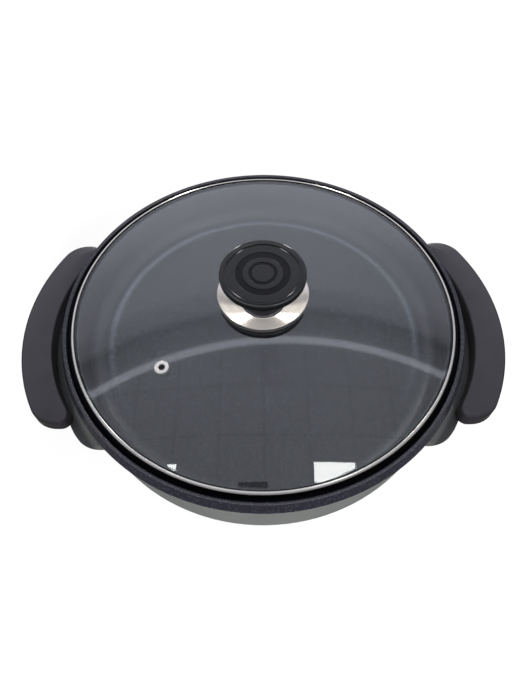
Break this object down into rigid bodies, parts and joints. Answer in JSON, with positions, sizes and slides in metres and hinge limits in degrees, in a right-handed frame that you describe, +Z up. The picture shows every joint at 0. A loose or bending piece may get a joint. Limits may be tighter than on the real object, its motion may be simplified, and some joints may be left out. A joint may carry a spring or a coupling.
{
  "type": "electric griddle",
  "caption": "Round electric griddle: a non-stick pan in a grey base with crescent handles, an inlet for a plug-in thermostat, and a lift-off domed glass lid with a knob.",
  "frame": {"origin": "centre of the base on the table, on the pan's axis", "axes": "+Z up, handles on the X axis, thermostat inlet towards +Y"},
  "size_m": [0.468, 0.383, 0.1367],
  "materials": {
    "pan_coating": "speckled non-stick coating, satin",
    "base_plastic": "metallic grey, satin",
    "handle_plastic": "fine grain, satin",
    "shroud_plastic": "fine grain, matte",
    "plate_steel": "rolled sheet, dull",
    "bright_steel": "plated, semi-bright",
    "clamp_steel": "plated, dull",
    "element_sheath": "heat-darkened, dull",
    "contact_metal": "plated, bright",
    "probe_metal": "drawn tube, satin",
    "bush_ceramic": "unglazed, matte",
    "insert_brass": "turned, satin",
    "foot_rubber": "matte",
    "silicone": "soft, matte",
    "lid_clear_glass": "clear, polished",
    "ring_steel": "rolled, satin bright",
    "dish_steel": "spun, concentric satin",
    "knob_gloss": "polished black",
    "knob_insert": "turned rings, satin"
  },
  "bodies": {
    "base": {"griddle_pan": "pan_coating", "base_shell": "base_plastic", "handle_left": "handle_plastic", "handle_right": "handle_plastic", "inlet_shroud": "shroud_plastic", "bottom_plate": "plate_steel", "heat_shield": "plate_steel", "bottom_plate_screws": "bright_steel", "pan_screws": "bright_steel", "inlet_screws": "bright_steel", "handle_screws_left": "bright_steel", "handle_screws_right": "bright_steel", "element_clamp_screws": "bright_steel", "element_clamps": "clamp_steel", "pan_spacers": "clamp_steel", "heating_element": "element_sheath", "terminal_pins": "contact_metal", "earth_contact": "contact_metal", "probe_guide": "probe_metal", "terminal_bushes": "bush_ceramic", "handle_inserts_left": "insert_brass", "handle_inserts_right": "insert_brass", "foot_front_left": "foot_rubber", "foot_front_right": "foot_rubber", "foot_rear_left": "foot_rubber", "foot_rear_right": "foot_rubber"},
    "lid": {"lid_glass": "lid_clear_glass", "lid_ring": "ring_steel", "vent_gasket": "silicone", "vent_eyelet": "ring_steel", "knob_gasket": "silicone", "knob_lower_gasket": "silicone", "knob_washer": "bright_steel", "knob_screw": "bright_steel", "knob_seat": "knob_gloss", "knob_dish": "dish_steel", "knob_body": "knob_gloss", "knob_nut": "insert_brass", "knob_cap": "knob_insert"}
  },
  "joints": [
    {"name": "lid_lift", "type": "slide", "parent": "base", "child": "lid", "axis": [0, 0, 1], "range_m": [0, 0.15]}
  ]
}
